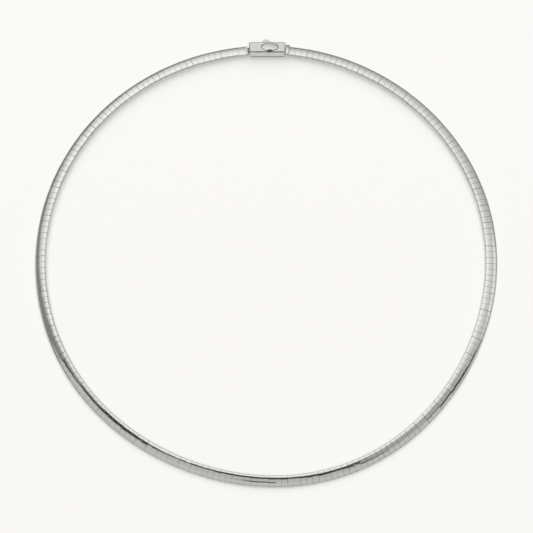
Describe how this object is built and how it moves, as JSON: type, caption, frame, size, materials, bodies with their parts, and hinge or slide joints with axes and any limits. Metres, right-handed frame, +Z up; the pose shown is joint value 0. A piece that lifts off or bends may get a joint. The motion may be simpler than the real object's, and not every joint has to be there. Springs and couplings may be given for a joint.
{
  "type": "omega necklace",
  "caption": "Polished silver domed omega necklace lying in a round loop, with a box clasp and an oval push button.",
  "frame": {"origin": "centre of the loop, on the surface that the necklace lies on", "axes": "+Z up out of the surface, +Y from the loop's centre to the clasp, +X to the right when the clasp is at the far side"},
  "size_m": [0.1324, 0.1336, 0.0037],
  "materials": {
    "polished_silver": "bright polished silver with fine hairline wear",
    "satin_silver": "silver with a fine satin grain, bright at the edges",
    "woven_silver": "fine woven silver wire, slightly darkened",
    "spring_silver": "rolled spring sheet, dull"
  },
  "bodies": {
    "necklace": {"plates": "polished_silver", "mesh_core": "woven_silver", "tail_cap": "polished_silver", "end_collar": "polished_silver", "clasp_box": "satin_silver", "tongue": "spring_silver"},
    "button": {"push_button": "polished_silver"}
  },
  "joints": [
    {"name": "button_press", "type": "slide", "parent": "necklace", "child": "button", "axis": [0, 0.4384, 0.8988], "range_m": [-0.00035, 0], "stiffness_N_per_m": 1500}
  ]
}
